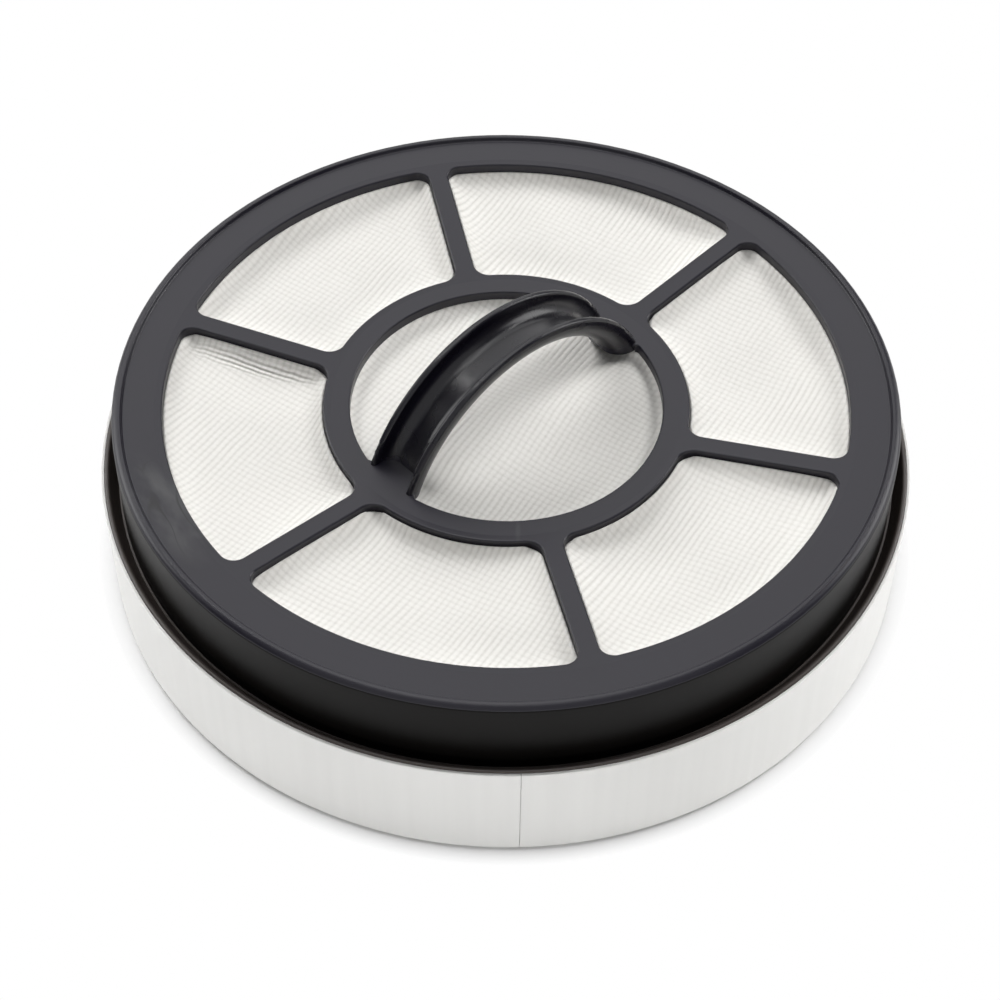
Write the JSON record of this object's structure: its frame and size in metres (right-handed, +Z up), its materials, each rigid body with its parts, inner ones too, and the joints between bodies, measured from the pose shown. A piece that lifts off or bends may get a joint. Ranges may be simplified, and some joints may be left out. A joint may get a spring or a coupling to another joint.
{
  "type": "vacuum filter",
  "caption": "Round filter cassette: dark spoked frame with an arched finger handle over a white woven screen, folded paper pack and white side band.",
  "frame": {"origin": "centre of the plane the filter stands on, under the lower edge of the side band", "axes": "+Z up along the axis of the round body, towards the handle; +Y away from the side where the band is butted"},
  "size_m": [0.1491, 0.149, 0.0509],
  "materials": {
    "frame_plastic": "satin moulded",
    "screen_cloth": "plain woven net",
    "filter_paper": "folded nonwoven paper",
    "band_white": "smooth strip with faint upright streaks"
  },
  "bodies": {
    "root": {"frame": "frame_plastic", "mesh_screen": "screen_cloth", "filter_pack": "filter_paper", "side_band": "band_white"}
  },
  "joints": []
}
